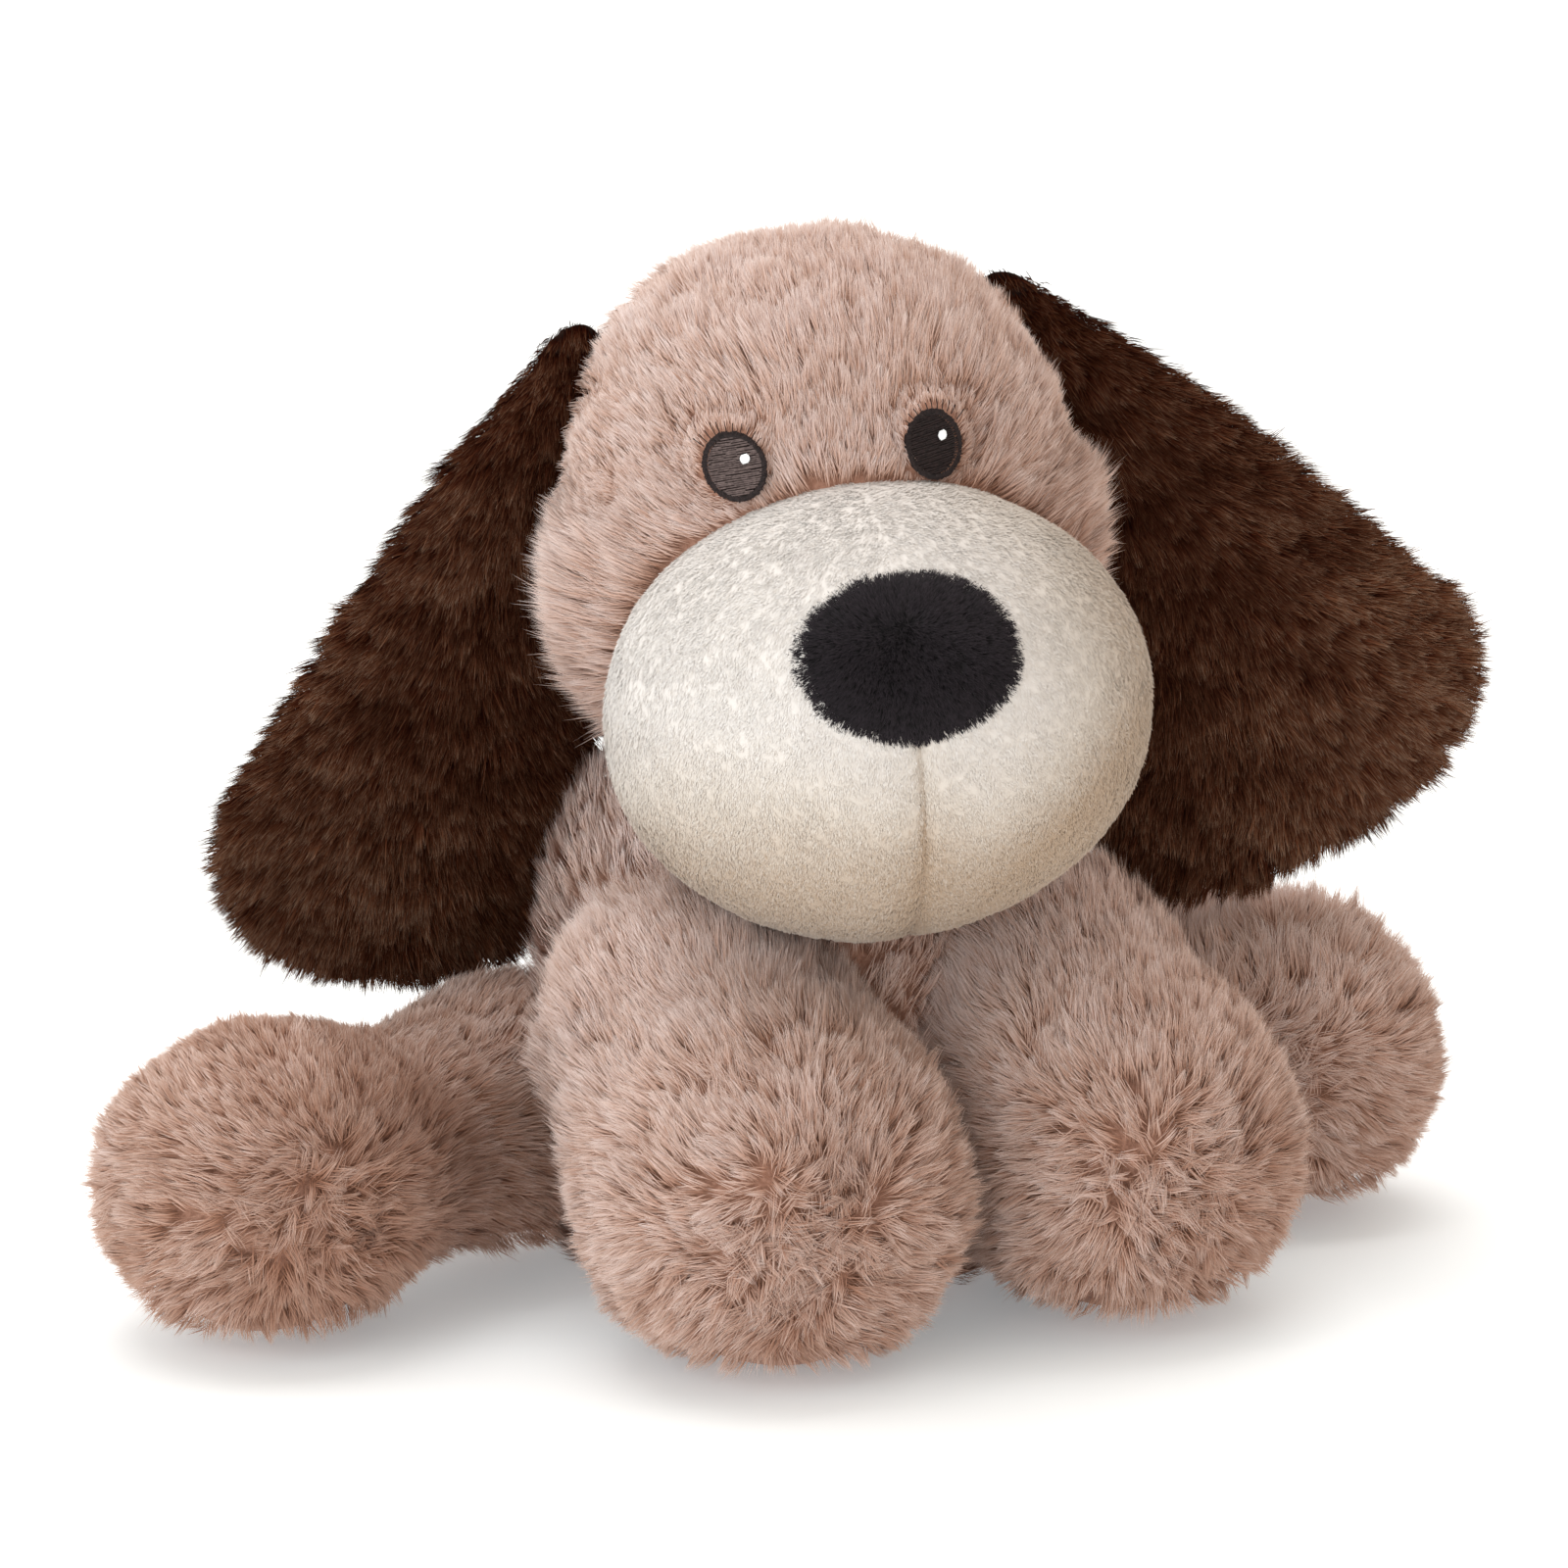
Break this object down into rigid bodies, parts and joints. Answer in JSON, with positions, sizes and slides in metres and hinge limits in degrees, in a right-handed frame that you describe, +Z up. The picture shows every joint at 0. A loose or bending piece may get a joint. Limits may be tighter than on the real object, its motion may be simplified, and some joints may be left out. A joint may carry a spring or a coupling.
{
  "type": "plush dog",
  "caption": "Sitting plush dog with a big rounded muzzle, oval nose, long hanging ears and stubby stuffed legs that swing.",
  "frame": {"origin": "centre of the flat seat under the body, on the floor", "axes": "+Z up, the dog looks along -Y, its left side is +X"},
  "size_m": [0.3148, 0.1838, 0.229],
  "materials": {
    "plush_rose_taupe": "medium-long soft pile",
    "plush_sole": "medium-long soft pile",
    "fibre_filling": "loose polyester fibre",
    "short_plush_cream": "very short pile",
    "short_plush_black": "very short pile",
    "thread_grey": "satin embroidery",
    "thread_black": "satin embroidery",
    "thread_white": "satin embroidery",
    "plush_dark_brown": "medium-long soft pile"
  },
  "bodies": {
    "body": {"body_skin": "plush_rose_taupe", "body_filling": "fibre_filling"},
    "neck": {"neck_filling": "fibre_filling"},
    "head": {"head_skin": "plush_rose_taupe", "head_filling": "fibre_filling", "muzzle_panel_left": "short_plush_cream", "muzzle_panel_right": "short_plush_cream", "muzzle_filling": "fibre_filling", "nose_pad": "short_plush_black", "eye_left_fill": "thread_grey", "eye_left_outline": "thread_black", "eye_left_glint": "thread_white", "eye_right_fill": "thread_grey", "eye_right_outline": "thread_black", "eye_right_glint": "thread_white"},
    "ear_left": {"ear_left_front": "plush_dark_brown", "ear_left_back": "plush_dark_brown"},
    "ear_right": {"ear_right_front": "plush_dark_brown", "ear_right_back": "plush_dark_brown"},
    "foreleg_left": {"foreleg_left_skin": "plush_rose_taupe", "foreleg_left_sole": "plush_sole", "foreleg_left_filling": "fibre_filling"},
    "foreleg_right": {"foreleg_right_skin": "plush_rose_taupe", "foreleg_right_sole": "plush_sole", "foreleg_right_filling": "fibre_filling"},
    "hindleg_left": {"hindleg_left_skin": "plush_rose_taupe", "hindleg_left_sole": "plush_sole", "hindleg_left_filling": "fibre_filling"},
    "hindleg_right": {"hindleg_right_skin": "plush_rose_taupe", "hindleg_right_sole": "plush_sole", "hindleg_right_filling": "fibre_filling"}
  },
  "joints": [
    {"name": "head_turn", "type": "hinge", "parent": "body", "child": "neck", "pos_m": [0, 0, 0.124], "axis": [0, 0, 1], "range_deg": [0, 15], "stiffness_Nm_per_rad": 0.6},
    {"name": "head_nod", "type": "hinge", "parent": "neck", "child": "head", "pos_m": [0, 0, 0.124], "axis": [-0.9659, 0.2588, 0], "range_deg": [0, 5], "stiffness_Nm_per_rad": 0.6},
    {"name": "ear_left_lift", "type": "hinge", "parent": "head", "child": "ear_left", "pos_m": [0.04474, -0.0174, 0.20617], "axis": [-0.2588, -0.9659, 0], "range_deg": [0, 20]},
    {"name": "ear_right_lift", "type": "hinge", "parent": "head", "child": "ear_right", "pos_m": [-0.04947, 0.00784, 0.19661], "axis": [0.2588, 0.9659, 0], "range_deg": [0, 20]},
    {"name": "foreleg_left_lift", "type": "hinge", "parent": "body", "child": "foreleg_left", "pos_m": [0.036, -0.038, 0.062], "axis": [-1, 0, 0], "range_deg": [0, 12], "stiffness_Nm_per_rad": 0.25},
    {"name": "foreleg_right_lift", "type": "hinge", "parent": "body", "child": "foreleg_right", "pos_m": [-0.04, -0.038, 0.062], "axis": [-1, 0, 0], "range_deg": [0, 12], "stiffness_Nm_per_rad": 0.25},
    {"name": "hindleg_left_turn", "type": "hinge", "parent": "body", "child": "hindleg_left", "pos_m": [0.056, 0.024, 0.042], "axis": [0, 0, 1], "range_deg": [-6, 10], "stiffness_Nm_per_rad": 0.25},
    {"name": "hindleg_right_turn", "type": "hinge", "parent": "body", "child": "hindleg_right", "pos_m": [-0.056, 0.024, 0.034], "axis": [0, 0, 1], "range_deg": [-10, 6], "stiffness_Nm_per_rad": 0.25}
  ]
}
